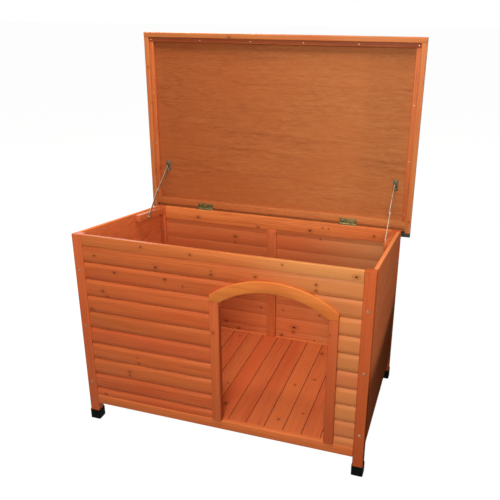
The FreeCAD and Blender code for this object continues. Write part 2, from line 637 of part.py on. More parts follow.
KNEE = knee_between(HOUSE_PIVOT, LID_PIVOT, 1)
for side, name in ((-1, "left"), (1, "right")):
    lower_x = "lower_arm_in" if side > 0 else "-lower_arm_out"
    upper_x = "upper_arm_in" if side > 0 else "-upper_arm_out"
    outward, inward = ("arm_thick", "-stay_head_thick")
    stay_arm("stay_lower_arm_" + name, lower_x, HOUSE_PIVOT, turn_of(HOUSE_PIVOT, KNEE),
             ["0"], [("arm_length", outward if side > 0 else inward)])
    stay_arm("stay_upper_arm_" + name, upper_x, LID_PIVOT, turn_of(LID_PIVOT, KNEE),
             ["0"], [("arm_length", inward if side > 0 else outward)])

    # Bracket under the lid: a plate on the deck, a lug beside the arm and a riveted pin.
    bracket = new_body("stay_bracket_" + name)
    lug_x = "lower_arm_in" if side > 0 else "-lower_arm_out"
    along_lid, across = "stay_lid_along", "stay_lid_across"
    plate = new_sketch(bracket, "YZ_Plane", bracket.Name + "_plate",
                       "(arm_thick - bracket_width) / 2")
    outline(plate, rectangle("deck_low - bracket_thick", along_lid + " - bracket_length / 2",
                             "deck_low", along_lid + " + bracket_length / 2"))
    pad(bracket, plate, "bracket_width")
    lug = new_sketch(bracket, "YZ_Plane", bracket.Name + "_lug")
    outline(lug, rectangle(across, along_lid + " - arm_width / 2",
                           "deck_low - bracket_thick", along_lid + " + arm_width / 2"))
    pad(bracket, lug, "arm_thick")
    eye = new_sketch(bracket, "YZ_Plane", bracket.Name + "_eye")
    circle(eye, across, along_lid, "arm_width / 2")
    pad(bracket, eye, "arm_thick")
    reach = "arm_thick + 2 * arm_gap"
    start = "-(%s)" % reach if side > 0 else "arm_thick"
    shank = new_sketch(bracket, "YZ_Plane", bracket.Name + "_pin", start)
    circle(shank, across, along_lid, "stay_pin_radius")
    pad(bracket, shank, reach)
    head_x = "-(%s + stay_head_thick)" % reach if side > 0 else "arm_thick + %s" % reach
    head = new_sketch(bracket, "YZ_Plane", bracket.Name + "_head", head_x)
    circle(head, across, along_lid, "stay_head_radius")
    pad(bracket, head, "stay_head_thick")
    place(bracket, (lug_x, "0", "0"), **LID)

    # Pivot screw: its shank crosses the lower arm and ends on the face of the block.
    screw = new_body("stay_pivot_screw_" + name)
    reach = "arm_clear + arm_thick + arm_gap"
    shank = new_sketch(screw, "YZ_Plane", screw.Name + "_shank")
    circle(shank, "0", "0", "stay_pin_radius")
    pad(screw, shank, reach)
    collar = new_sketch(screw, "YZ_Plane", screw.Name + "_collar",
                        "arm_gap + arm_thick + arm_gap" if side > 0 else "0")
    circle(collar, "0", "0", "stay_head_radius")
    pad(screw, collar, "arm_clear - arm_gap")
    head = new_sketch(screw, "YZ_Plane", screw.Name + "_head",
                      "-stay_head_thick" if side > 0 else reach)
    circle(head, "0", "0", "stay_head_radius")
    pad(screw, head, "stay_head_thick")
    place(screw, ("block_face - (%s)" % reach if side > 0 else "-block_face", "0", "0"),
          base=FreeCAD.Vector(0, HOUSE_PIVOT.y, HOUSE_PIVOT.z))


# ---------------------------------------------------------------- screws and nails
def screw_head(spot, direction, radius, height, slots=True):
    """Low round head on a face, with a cross recess in its top."""
    head = Part.makeCylinder(radius, height)
    rim = [edge for edge in head.Edges if edge.Closed and edge.CenterOfMass.z > height / 2]
    head = head.makeFillet(0.6 * height, rim)
    if slots:
        width, depth = size("slot_width"), size("slot_depth") * height / size("screw_head")
        for turn in (0, 90):
            slot = Part.makeBox(1.3 * radius, width, 2 * depth,
                                FreeCAD.Vector(-0.65 * radius, -width / 2, height - depth))
            slot.rotate(FreeCAD.Vector(), FreeCAD.Vector(0, 0, 1), turn)
            head = head.cut(slot)
    head.Placement = FreeCAD.Placement(
        spot, FreeCAD.Rotation(FreeCAD.Vector(0, 0, 1), direction)).multiply(head.Placement)
    return head


def in_lid(x, across, along_lid):
    """A point of the open lid, from its place across and along the lid."""
    return AXIS + FreeCAD.Vector(x, 0, 0) + LID_TURN.multVec(
        FreeCAD.Vector(0, across, along_lid))


def on_rail(x, across, along_slope):
    """A point of the sloping top of the back rail, counted from the hinge axis."""
    return AXIS + FreeCAD.Vector(x, 0, 0) + LEAF_TURN.multVec(
        FreeCAD.Vector(0, across, along_slope))


heads = []
for side in (-1, 1):
    x = side * size("half_width - post_size / 2")
    inner_x = side * size("(inner_post + panel_in) / 2")
    for z in (size("screw_low"), size("screw_mid"), size("screw_high")):
        if z < size("back_height"):
            heads.append((FreeCAD.Vector(x, -size("half_depth"), z), (0, -1, 0)))
            heads.append((FreeCAD.Vector(x, size("half_depth"), z), (0, 1, 0)))
    for z in (size("inner_screw_high"), size("inner_screw_low")):
        heads.append((FreeCAD.Vector(inner_x, size("half_depth - post_size"), z), (0, -1, 0)))
group("post_screws", [
    screw_head(MIDDLE + spot, FreeCAD.Vector(*way), size("screw_radius"), size("screw_head"))
    for spot, way in heads])

small, thin = size("small_screw_radius"), size("small_screw_head")
leaf_middle = size("(knuckle_radius + knuckle_gap + leaf_width) / 2")
spots = [side * size("hinge_offset") + step * size("hinge_length / 3")
         for side in (-1, 1) for step in (-1, 0, 1)]
house_up = LEAF_TURN.multVec(FreeCAD.Vector(0, 1, 0))
lid_down = LID_TURN.multVec(FreeCAD.Vector(0, -1, 0))
group("hinge_screws_house", [
    screw_head(on_rail(x, size("leaf_thick - axis_lift"), leaf_middle - 2), house_up, small,
               size("leaf_screw_head"), slots=False) for x in spots])
plate_screws = [
    screw_head(in_lid(side * size("lower_arm_in + arm_thick / 2"),
                      size("deck_low - bracket_thick"),
                      size("stay_lid_along + bracket_length / 2 * %s" % end)),
               lid_down, small, thin)
    for side in (-1, 1) for end in ("0.72", "-0.72")]
group("lid_screws", [
    screw_head(in_lid(x, size("axis_lift - leaf_thick"), leaf_middle + 2), lid_down, small,
               size("leaf_screw_head"), slots=False) for x in spots] + plate_screws)

nails = []
nail_x = [step * size("nail_spacing") for step in (-1.5, -0.5, 0.5, 1.5)]
middle_front = size("inner_front - batten_width / 2")
middle_side = size("inner_lid - batten_width / 2")
for x in nail_x + [-middle_side, middle_side]:
    nails.append((x, middle_front))
for side in (-1, 1):
    for step in range(1, 4):
        nails.append((side * middle_side, middle_front - step * size("nail_spacing")))
group("lid_nails", [
    screw_head(in_lid(x, size("lid_under"), z), lid_down, size("nail_radius"),
               size("nail_head"), slots=False) for x, z in nails])

# ---------------------------------------------------------------- check and write
doc.recompute()
for item in doc.Objects:
    if "Invalid" in item.State or "Error" in item.State:
        raise RuntimeError("failed: %s %s" % (item.Name, item.State))
for part in PARTS:
    if part.Shape.isNull() or not part.Shape.isValid() or not part.Shape.Solids:
        raise RuntimeError("bad shape: " + part.Label)
    part.Shape.exportStep(os.path.join("parts", part.Label + ".step"))
box = Part.makeCompound([part.Shape for part in PARTS]).BoundBox
print("nodes", len(PARTS))
print("box X %.2f %.2f  Y %.2f %.2f  Z %.2f %.2f" % (
    box.XMin, box.XMax, box.YMin, box.YMax, box.ZMin, box.ZMax))
print("hinge axis y %.4f z %.4f, slope %.4f deg" % (AXIS.y, AXIS.z, SLOPE))
print("house pivot y %.4f z %.4f" % (HOUSE_PIVOT.y, HOUSE_PIVOT.z))
print("lid pivot y %.4f z %.4f" % (LID_PIVOT.y, LID_PIVOT.z))
print("knee y %.4f z %.4f" % (KNEE.y, KNEE.z))
CLOSE = 90 - SLOPE + size("lid_lean")
shut = FreeCAD.Rotation(X_AXIS, CLOSE).multVec(LID_PIVOT - AXIS) + AXIS
shut_knee = knee_between(HOUSE_PIVOT, shut, -1)
lower_turn = turn_of(HOUSE_PIVOT, shut_knee) - turn_of(HOUSE_PIVOT, KNEE)
upper_turn = (turn_of(shut, shut_knee) - turn_of(LID_PIVOT, KNEE)) % 360 - CLOSE
print("close %.4f, lower %.6f, upper %.6f" % (CLOSE, lower_turn / CLOSE, upper_turn / CLOSE))
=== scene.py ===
import math

import bpy
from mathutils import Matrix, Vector


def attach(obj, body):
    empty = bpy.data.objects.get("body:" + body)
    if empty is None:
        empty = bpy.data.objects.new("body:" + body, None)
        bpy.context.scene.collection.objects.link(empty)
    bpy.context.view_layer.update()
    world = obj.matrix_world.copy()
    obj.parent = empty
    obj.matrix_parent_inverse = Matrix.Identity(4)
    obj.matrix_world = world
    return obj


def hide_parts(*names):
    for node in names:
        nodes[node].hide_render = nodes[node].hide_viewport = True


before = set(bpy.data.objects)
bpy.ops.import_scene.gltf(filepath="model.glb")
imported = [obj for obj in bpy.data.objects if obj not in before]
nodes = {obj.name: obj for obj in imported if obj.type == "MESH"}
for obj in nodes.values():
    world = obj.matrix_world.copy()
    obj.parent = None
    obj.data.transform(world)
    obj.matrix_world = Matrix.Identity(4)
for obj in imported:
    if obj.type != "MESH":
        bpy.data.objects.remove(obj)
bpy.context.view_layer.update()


# ---- camera ------------------------------------------------------------------------------
# Stands a little above the open roof, 1.6 m in front of the house and just past its right
# wall, and looks down into the cabin.
bpy.ops.object.select_all(action="DESELECT")
bpy.ops.object.camera_add(
    location=(0.69374, -1.971195, 1.41956),
    rotation=(math.radians(90 - 21.7119), 0, math.radians(18.5036)))
camera = bpy.context.object
camera.name = "view_camera"
camera.data.lens = 46.19
camera.data.sensor_width = 36
camera.data.shift_x, camera.data.shift_y = -0.0164, -0.0003
camera.data.clip_end = 60
bpy.context.scene.camera = camera


# ---- front posts, back posts -------------------------------------------------------------
# Planed pine sticks, stained red-orange and lacquered, with eased long edges. The walls
# are screwed between them and the roof lies over their sloping tops.
def link(tree, source, target):
    tree.links.new(source, target)


def add(tree, kind, **values):
    node = tree.nodes.new(kind)
    for key, value in values.items():
        setattr(node, key, value)
    return node


def feed(tree, socket, value):
    """Set a number, a vector or a colour on a socket, or link an output to it."""
    if isinstance(value, bpy.types.NodeSocket):
        link(tree, value, socket)
    elif socket.type == "RGBA":
        socket.default_value = (*value, 1)
    else:
        socket.default_value = value


def sum_up(tree, operation, *values):
    """One Math node, fed with numbers or outputs."""
    node = add(tree, "ShaderNodeMath", operation=operation)
    for socket, value in zip(node.inputs, values):
        feed(tree, socket, value)
    return node.outputs[0]


def vector_sum(tree, operation, *values):
    """One Vector Math node, fed with vectors or outputs."""
    node = add(tree, "ShaderNodeVectorMath", operation=operation)
    for socket, value in zip(node.inputs, values):
        feed(tree, socket, value)
    return node.outputs["Value" if operation == "LENGTH" else "Vector"]


def tint(tree, amount, first, second, blend="MIX"):
    """Mix two colours, each one a tuple or an output."""
    node = add(tree, "ShaderNodeMix", data_type="RGBA", blend_type=blend)
    for i, value in ((0, amount), (6, first), (7, second)):
        feed(tree, node.inputs[i], value)
    return node.outputs[2]


def ramp(tree, value, low, high, bottom=0.0, top=1.0):
    """Smooth step of a value from low to high."""
    node = add(tree, "ShaderNodeMapRange", interpolation_type="SMOOTHSTEP")
    link(tree, value, node.inputs[0])
    for i, number in enumerate((low, high, bottom, top), 1):
        node.inputs[i].default_value = number
    return node.outputs[0]


def placed(tree, place, scale, shift, turn=(0, 0, 0)):
    """A place, stretched, turned and then shifted."""
    node = add(tree, "ShaderNodeMapping")
    node.inputs["Location"].default_value = shift
    node.inputs["Rotation"].default_value = turn
    node.inputs["Scale"].default_value = scale
    link(tree, place, node.inputs["Vector"])
    return node.outputs[0]


def stretched_noise(tree, place, scale, detail=3.0, roughness=0.55, shift=(0, 0, 0),
                    output="Fac"):
    """Noise; scale is the number of blotches to the metre along X, Y and Z of the place."""
    noise = add(tree, "ShaderNodeTexNoise")
    noise.inputs["Scale"].default_value = 1.0
    noise.inputs["Detail"].default_value = detail
    noise.inputs["Roughness"].default_value = roughness
    link(tree, placed(tree, place, scale, shift), noise.inputs["Vector"])
    return noise.outputs[output]


def object_place(tree):
    return add(tree, "ShaderNodeTexCoord").outputs["Object"]


def parts_of(tree, place):
    """The X, Y and Z of a place."""
    apart = add(tree, "ShaderNodeSeparateXYZ")
    link(tree, place, apart.inputs[0])
    return apart.outputs


def along_grain(tree, grain):
    """Object coordinates turned so that X runs along the grain."""
    where = object_place(tree)
    if grain == "X":
        return where
    apart = parts_of(tree, where)
    again = add(tree, "ShaderNodeCombineXYZ")
    order = {"Y": (1, 0, 2), "Z": (2, 1, 0)}[grain]
    for i, j in enumerate(order):
        link(tree, apart[j], again.inputs[i])
    return again.outputs[0]


def new_material(name):
    material = bpy.data.materials.new(name)
    material.use_nodes = True
    tree = material.node_tree
    return material, tree, tree.nodes["Principled BSDF"]


def emboss(tree, shader, height, strength, distance):
    bump = add(tree, "ShaderNodeBump")
    bump.inputs["Strength"].default_value = strength
    bump.inputs["Distance"].default_value = distance
    link(tree, height, bump.inputs["Height"])
    link(tree, bump.outputs[0], shader.inputs["Normal"])


def scaled_colour(colour, factors):
    return tuple(value * factor for value, factor in zip(colour, factors))


def with_knots(tree, grain, place, knots, colour, dark):
    """Ragged black ovals, each in a darker halo with rings.

    The smaller a factor is, the further a knot reaches that way: it runs deep into the
    board, and how long it is along the grain changes from knot to knot.
    """
    inwards, along = 0.3, (0.72, 0.95, 1.25, 0.6)
    nearest = None
    for i, (x, y, z, radius) in enumerate(knots):
        spot = {"X": (x, y, z), "Y": (y, x, z), "Z": (z, y, x)}[grain]
        second, third = (1, inwards) if grain == "Y" else (inwards, 1)
        factors = (along[i % len(along)] / radius, second / radius, third / radius)
        offset = vector_sum(tree, "SUBTRACT", place, spot)
        far = vector_sum(tree, "LENGTH", vector_sum(tree, "MULTIPLY", offset, factors))
        nearest = far if nearest is None else sum_up(tree, "MINIMUM", nearest, far)
    ragged = stretched_noise(tree, place, (260, 260, 260), 3, 0.6)
    nearest = sum_up(tree, "MULTIPLY_ADD", ragged, 1.5, sum_up(tree, "ADD", nearest, -0.75))
    circles = sum_up(tree, "SINE", sum_up(tree, "MULTIPLY", nearest, 5.0))
    halo = ramp(tree, nearest, 0.9, 3.4, 0.62, 0.0)
    halo = sum_up(tree, "MULTIPLY", halo, sum_up(tree, "MULTIPLY_ADD", circles, 0.35, 0.65))
    colour = tint(tree, halo, colour, scaled_colour(dark, (0.66, 0.66, 0.66)))
    core = ramp(tree, nearest, 0.5, 1.0, 0.92, 0.0)
    return tint(tree, core, colour, (0.050, 0.012, 0.006))


def stained_pine(name, grain, light, dark, seed, knots=(), rings=58, contrast=1.0,
                 boards=None, painted_light_span=None, shine=0.12):
    """Stained and lacquered pine: growth rings, fibres, blotches of stain and set knots.

    light and dark are the early and late wood; knots are (x, y, z, radius) in metres.
    rings and contrast are the number and strength of the growth rings, shine the lacquer's.
    boards is (axis across the grain, pitch, origin) where one piece is several boards;
    The span of painted light is where the wood is painted paler, as lit from the right: from
    one X to another, and at one X for a new board.
    """
    material, tree, shader = new_material(name)
    place = along_grain(tree, grain)
    place_of_knots = place
    other = None
    if boards:
        axis, pitch, origin = boards
        count = sum_up(tree, "MULTIPLY_ADD", parts_of(tree, place)[axis], 1 / pitch,
                       -origin / pitch)
        dice = add(tree, "ShaderNodeTexWhiteNoise", noise_dimensions="1D")
        link(tree, sum_up(tree, "ADD", sum_up(tree, "FLOOR", count), seed), dice.inputs["W"])
        other = dice.outputs["Value"]
    if painted_light_span:
        least_run = 0.0001
        painted_light_amount = ramp(tree, parts_of(tree, place)[0], painted_light_span[0], painted_light_span[1] + least_run)
        if painted_light_span[0] == painted_light_span[1]:
            other = painted_light_amount
    if other is not None:
        # another board is cut from another part of the tree
        shift = add(tree, "ShaderNodeCombineXYZ")
        for i, much in enumerate((7.3, 0.21, 0.17)):
            link(tree, sum_up(tree, "MULTIPLY", other, much), shift.inputs[i])
        place = vector_sum(tree, "ADD", place, shift.outputs[0])
    # slow waves push the rings off straight lines
    waves = stretched_noise(tree, place, (2.2, 9, 9), 2, 0.5,
                            (seed * 3.7, seed * 1.3, seed * 2.1), "Color")
    push = vector_sum(tree, "MULTIPLY_ADD", waves, (0.0, 0.022, 0.022), place)
    # rings of a trunk that lies beside the board and is a little out of line with it
    trunk = placed(
        tree, push, (1, 1, 1),
        (0.3 * seed, 0.05 + 0.013 * ((seed * 7) % 5), 0.03 + 0.017 * ((seed * 3) % 7)),
        (0, 0.03, 0.02 * math.sin(seed)))
    ring = add(tree, "ShaderNodeTexWave", wave_type="RINGS", rings_direction="X")
    ring.inputs["Scale"].default_value = rings
    ring.inputs["Distortion"].default_value = 1.5
    ring.inputs["Detail"].default_value = 2.0
    ring.inputs["Detail Scale"].default_value = 1.2
    link(tree, trunk, ring.inputs["Vector"])
    fibres = stretched_noise(tree, place, (9, 420, 420), 3, 0.6, (seed, seed, 0))
    streaks = stretched_noise(tree, place, (1.6, 40, 40), 3, 0.6, (seed * 2.3, 0, seed))
    flames = stretched_noise(tree, push, (7, 120, 120), 3, 0.6, (seed, 0, seed * 1.9))
    blotch = stretched_noise(tree, place, (3.0, 14, 14), 2, 0.5, (seed * 5.1, seed, 0))
    late = sum_up(tree, "POWER", ring.outputs["Fac"], 2.2)
    late = sum_up(tree, "MULTIPLY", late, 0.36 * contrast)
    late = sum_up(tree, "MULTIPLY_ADD", ramp(tree, fibres, 0.3, 0.75), 0.20 * contrast, late)
    late = sum_up(tree, "MULTIPLY_ADD", ramp(tree, streaks, 0.35, 0.72), 0.38, late)
    late = sum_up(tree, "MULTIPLY_ADD", ramp(tree, flames, 0.42, 0.74), 0.34 * contrast, late)
    colour = tint(tree, late, light, dark)
    warm = scaled_colour(dark, (1.15, 0.86, 0.8))
    colour = tint(tree, ramp(tree, blotch, 0.42, 0.8, 0.0, 0.45), colour, warm)
    if boards:
        red = scaled_colour(light, (1.0, 0.80, 0.76))
        yellow = scaled_colour(light, (1.04, 1.16, 1.05))
        colour = tint(tree, ramp(tree, other, 0.0, 0.5, 0.55, 0.0), colour, red)
        colour = tint(tree, ramp(tree, other, 0.6, 1.0, 0.0, 0.5), colour, yellow)
    # painted light: the colour is painted paler and yellower over the span, as lit from the
    # right
    if painted_light_span:
        painted_light_colour = scaled_colour(light, (1.01, 1.6, 1.9))
        colour = tint(tree, sum_up(tree, "MULTIPLY", painted_light_amount, 0.66), colour, painted_light_colour)
    if knots:
        colour = with_knots(tree, grain, place_of_knots, knots, colour, dark)
    link(tree, colour, shader.inputs["Base Color"])
    link(tree, sum_up(tree, "MULTIPLY_ADD", fibres, 0.16, 0.40), shader.inputs["Roughness"])
    shader.inputs["Specular IOR Level"].default_value = shine
    emboss(tree, shader, sum_up(tree, "MULTIPLY_ADD", fibres, 0.6, late), 0.35, 0.0006)
    return material


def board(node, name, body, material, eased=0.0012, smooth=32):
    """Dress a node with one piece, worked from a merged copy of its solid.

    Its sharp edges are eased by that many metres; flatter ones, by degrees, are smooth.
    """
    bpy.ops.object.select_all(action="DESELECT")
    nodes[node].select_set(True)
    bpy.context.view_layer.objects.active = nodes[node]
    bpy.ops.object.duplicate()
    piece = bpy.context.object
    for key in list(piece.keys()):
        del piece[key]
    piece.parent = None
    piece.name = name
    piece.data.name = name
    piece.data.materials.clear()
    piece.data.materials.append(material)
    bpy.ops.object.mode_set(mode="EDIT")
    bpy.ops.mesh.select_all(action="SELECT")
    bpy.ops.mesh.remove_doubles(threshold=0.00002)
    bpy.ops.mesh.customdata_custom_splitnormals_clear()
    bpy.ops.mesh.dissolve_limited(angle_limit=math.radians(0.6))
    bpy.ops.object.mode_set(mode="OBJECT")
    if eased:
        edge = piece.modifiers.new("eased_edges", "BEVEL")
        edge.width = eased
        edge.segments = 3
        edge.limit_method = "ANGLE"
        edge.angle_limit = math.radians(40)
        edge.harden_normals = False
        bpy.ops.object.modifier_apply(modifier=edge.name)
    bpy.ops.object.shade_smooth_by_angle(angle=math.radians(smooth))
    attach(piece, body)
    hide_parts(node)


def knots_on(depth, spots):
    """Knots on an upright face at that depth; each spot is (x, z, radius)."""
    return tuple((x, depth, z, radius) for x, z, radius in spots)


corners = ("front_left", "front_right", "back_left", "back_right")
front_left_tones = (0.56, 0.122, 0.037), (0.42, 0.080, 0.024)
darker_tones = (0.51, 0.108, 0.032), (0.39, 0.072, 0.022)
for seed, corner in enumerate(corners, 11):
    tones = front_left_tones if corner == "front_left" else darker_tones
    # the lacquer of the right posts has gone dull
    post_wood = stained_pine("post_pine_" + corner, "Z", *tones, seed, rings=50, contrast=0.7,
                             shine=0.0 if corner.endswith("right") else 0.12)
    board("post_" + corner, "post_stick_" + corner, "house", post_wood,
          eased=0.0008)


# ---- foot caps ---------------------------------------------------------------------------
# Black moulded plastic cups pushed over the lower ends of the posts. They keep the end
# grain of the wood off the wet ground.
cap_plastic, tree, shader = new_material("black_cap_plastic")
where = object_place(tree)
grit = stretched_noise(tree, where, (900, 900, 900), 2)
dust = stretched_noise(tree, where, (30, 30, 60), 3)
link(tree, tint(tree, ramp(tree, dust, 0.45, 0.8, 0, 0.5), (0.0015, 0.0030, 0.0018),
                (0.004, 0.006, 0.004)), shader.inputs["Base Color"])
link(tree, sum_up(tree, "MULTIPLY_ADD", grit, 0.15, 0.52), shader.inputs["Roughness"])
shader.inputs["Specular IOR Level"].default_value = 0.03
emboss(tree, shader, grit, 0.15, 0.0003)
for corner in corners:
    board("foot_cap_" + corner, "foot_cup_" + corner, "house", cap_plastic,
          eased=0.0007, smooth=40)


# ---- front wall: rails -------------------------------------------------------------------
# Two planed rails, screwed between the front posts; the top one carries the front of the
# roof and the bottom one is the doorstep.
rail_light, rail_dark = (0.63, 0.178, 0.047), (0.46, 0.108, 0.027)
rail_face = -0.328
# painted light: the rail is painted paler towards the right, as lit from the right
top_rail_wood = stained_pine(
    "front_top_rail_pine", "X", rail_light, rail_dark, 3.1, painted_light_span=(0.0, 0.35),
    knots=knots_on(rail_face, ((-0.242, 0.690, 0.0030), (-0.075, 0.686, 0.0035),
                               (0.217, 0.692, 0.0030), (0.435, 0.684, 0.0042))))
board("front_top_rail", "front_top_rail_board", "house", top_rail_wood,
      eased=0.002)
step_wood = stained_pine("doorstep_pine", "X", (0.62, 0.155, 0.044), rail_dark, 4.7)
board("front_bottom_rail", "doorstep_board", "house", step_wood, eased=0.002)


# ---- front wall: slats -------------------------------------------------------------------
# Tongue-and-groove boards with rounded shoulders, laid in rows between the posts and sawn
# to the outline of the doorway. The stain took differently on each; the knots show black.
slat_tones = [
    ((0.60, 0.150, 0.040), (0.43, 0.085, 0.022)), ((0.57, 0.132, 0.036), (0.41, 0.076, 0.020)),
    ((0.59, 0.138, 0.037), (0.42, 0.080, 0.021)), ((0.58, 0.136, 0.036), (0.41, 0.078, 0.021)),
    ((0.53, 0.132, 0.035), (0.39, 0.082, 0.021)), ((0.55, 0.115, 0.034), (0.40, 0.068, 0.020)),
    ((0.58, 0.138, 0.037), (0.41, 0.080, 0.022)), ((0.56, 0.138, 0.037), (0.41, 0.082, 0.022)),
    ((0.55, 0.122, 0.035), (0.40, 0.072, 0.021)), ((0.57, 0.130, 0.037), (0.41, 0.076, 0.022)),
]
slat_knots = {
    1: ((-0.414, 0.638, 0.0030), (-0.196, 0.626, 0.0050), (-0.008, 0.640, 0.0028),
        (-0.008, 0.628, 0.0032), (0.134, 0.641, 0.0035), (0.319, 0.642, 0.0035),
        (0.319, 0.623, 0.0040)),
    2: ((-0.345, 0.588, 0.0035), (-0.166, 0.589, 0.0042), (-0.105, 0.574, 0.0028)),
    3: ((-0.394, 0.515, 0.0040), (-0.381, 0.497, 0.0035)),
    4: ((-0.443, 0.441, 0.0035),),
    7: ((-0.282, 0.263, 0.0028), (-0.286, 0.283, 0.0022)),
    8: ((-0.320, 0.222, 0.0034), (-0.320, 0.207, 0.0038)),
    10: ((-0.422, 0.110, 0.0032),),
}
upper_rows = (1, 2)
slat_face = -0.325
for row, tones in enumerate(slat_tones, 1):
    # the upper rows are painted paler to the right, painted light from the right; below them
    # the right-hand board is another one, painted paler in the same way
    slat_wood = stained_pine(
        "slat_pine_%02d" % row, "X", *tones, 20.3 + 1.7 * row, rings=46,
        knots=knots_on(slat_face, slat_knots.get(row, ())),
        painted_light_span=(0.05, 0.40) if row in upper_rows else (0.36, 0.36))
    board("front_slat_%02d" % row, "slat_%02d" % row, "house", slat_wood,
          eased=0.0009)


# ---- door frame --------------------------------------------------------------------------
# Two upright jambs standing on the doorstep and an arch sawn from a wide board, nailed
# over the cut ends of the slats.
jambs = (
    ("left", (0.56, 0.125, 0.036), (0.42, 0.080, 0.022), 41.0, (-0.004, 0.432, 0.003)),
    ("right", (0.51, 0.112, 0.032), (0.38, 0.070, 0.020), 43.5, (0.368, 0.489, 0.002)))
jamb_face = -0.333
for side, light, dark, seed, knot in jambs:
    jamb_wood = stained_pine("jamb_pine_" + side, "Z", light, dark, seed,
                             knots_on(jamb_face, (knot,)), contrast=0.8)
    board("door_jamb_" + side, "jamb_" + side, "house", jamb_wood, eased=0.0010)
arch_wood = stained_pine("arch_pine", "X", (0.62, 0.190, 0.039), (0.49, 0.122, 0.026), 47.0,
                         contrast=0.8)
board("door_arch", "arch_head", "house", arch_wood, eased=0.0025)


# ---- back wall ---------------------------------------------------------------------------
# Rails and slats as in front, with the flat side inwards, and one upright batten nailed
# across them inside.
inner_light, inner_dark = (0.59, 0.175, 0.055), (0.43, 0.100, 0.032)
inner_rail_face, inner_slat_face = 0.271, 0.277
back_rail_wood = stained_pine(
    "back_rail_pine", "X", (0.72, 0.215, 0.058), rail_dark, 51.0,
    knots=knots_on(inner_rail_face, (
        (-0.311, 0.588, 0.0045), (0.151, 0.583, 0.0050), (0.395, 0.589, 0.0040),
        (-0.057, 0.574, 0.0030), (0.200, 0.599, 0.0025), (0.223, 0.598, 0.0025))))
board("back_top_rail", "back_top_rail_board", "house", back_rail_wood,
      eased=0.002)
board("back_bottom_rail", "back_bottom_rail_board", "house", back_rail_wood,
      eased=0.002)
batten_wood = stained_pine("upright_batten_pine", "Z", (0.56, 0.135, 0.038), inner_dark, 53.0)
board("back_wall_batten", "upright_batten", "house", batten_wood, eased=0.0012)
slat_pitch, slat_joint = 0.06, 0.67
# painted light: the rows are painted paler towards the right, as lit from the right
back_slat_wood = stained_pine(
    "back_slat_pine", "X", inner_light, inner_dark, 55.0, rings=46,
    boards=(2, slat_pitch, slat_joint), painted_light_span=(0.05, 0.50),
    knots=knots_on(inner_slat_face, (
        (-0.155, 0.521, 0.0048), (-0.155, 0.497, 0.0030), (0.192, 0.551, 0.0030),
        (-0.201, 0.133, 0.0035), (-0.145, 0.109, 0.0045), (-0.046, 0.222, 0.0035),
        (0.049, 0.225, 0.0035), (0.096, 0.153, 0.0060), (0.093, 0.132, 0.0045),
        (0.044, 0.109, 0.0055), (0.182, 0.106, 0.0030), (0.200, 0.225, 0.0025))))
board("back_slats", "back_slat_rows", "house", back_slat_wood, eased=0.0009)


# ---- side walls --------------------------------------------------------------------------
# Single sheets of stained plywood let in between the posts. A planed block inside each,
# near the back, carries the roof stay's lower screw.
def stained_plywood(name, grain, light, dark, seed, sawn_edge_highlight=False, painted_light_ramps=()):
    """Rotary-cut veneer: short dark pores, long wavy lines and cloudy stain.

    The painted light ramps list how the colour is painted to change over the sheet, painted
    light and shade: (axis, from, to, colour, colour).
    """
    material, tree, shader = new_material(name)
    place = along_grain(tree, grain)
    pores = stretched_noise(tree, place, (55, 420, 420), 4, 0.7, (seed, seed, seed))
    flecks = stretched_noise(tree, place, (26, 190, 190), 5, 0.72, (seed, 0, seed * 2))
    lines = stretched_noise(tree, place, (5, 75, 75), 5, 0.68, (seed * 2, 0, seed))
    cloud = stretched_noise(tree, place, (3.5, 7, 7), 5, 0.65, (0, seed * 3, seed))
    figure = stretched_noise(tree, place, (0.7, 4, 4), 2, 0.5, (seed, 0, seed * 1.7))
    wave = sum_up(tree, "SINE", sum_up(tree, "MULTIPLY", figure, 48.0))
    veins = ramp(tree, wave, 0.9, 1.0, 0.0, 0.16)
    amount = sum_up(tree, "MULTIPLY_ADD", ramp(tree, pores, 0.3, 0.75), 0.30, veins)
    amount = sum_up(tree, "MULTIPLY_ADD", ramp(tree, flecks, 0.32, 0.72), 0.52, amount)
    amount = sum_up(tree, "MULTIPLY_ADD", ramp(tree, lines, 0.35, 0.75), 0.34, amount)
    colour = tint(tree, amount, light, dark)
    warm = scaled_colour(light, (0.86, 0.72, 0.66))
    colour = tint(tree, ramp(tree, cloud, 0.36, 0.7, 0.0, 0.6), colour, warm)
    # painted light and shade: the colour is multiplied along a ramp over the sheet
    for axis, start, end, first, second in painted_light_ramps:
        across = parts_of(tree, object_place(tree))[axis]
        change = tint(tree, ramp(tree, across, start, end), first, second)
        colour = tint(tree, 1.0, colour, change, "MULTIPLY")
    if sawn_edge_highlight:
        # the sawn top edge follows the fall of the roof and is painted paler: its own paler
        # end grain, with a painted highlight of the light from above
        roof_fall, edge_start, edge_end = 0.14423, 0.6573, 0.6582
        where = parts_of(tree, object_place(tree))
        level = sum_up(tree, "MULTIPLY_ADD", where[1], roof_fall, where[2])
        colour = tint(tree, ramp(tree, level, edge_start, edge_end), colour,
                      (0.72, 0.22, 0.07))
    link(tree, colour, shader.inputs["Base Color"])
    link(tree, sum_up(tree, "MULTIPLY_ADD", pores, 0.15, 0.50), shader.inputs["Roughness"])
    shader.inputs["Specular IOR Level"].default_value = 0.0 if sawn_edge_highlight else 0.05
    emboss(tree, shader, amount, 0.12, 0.0003)
    return material


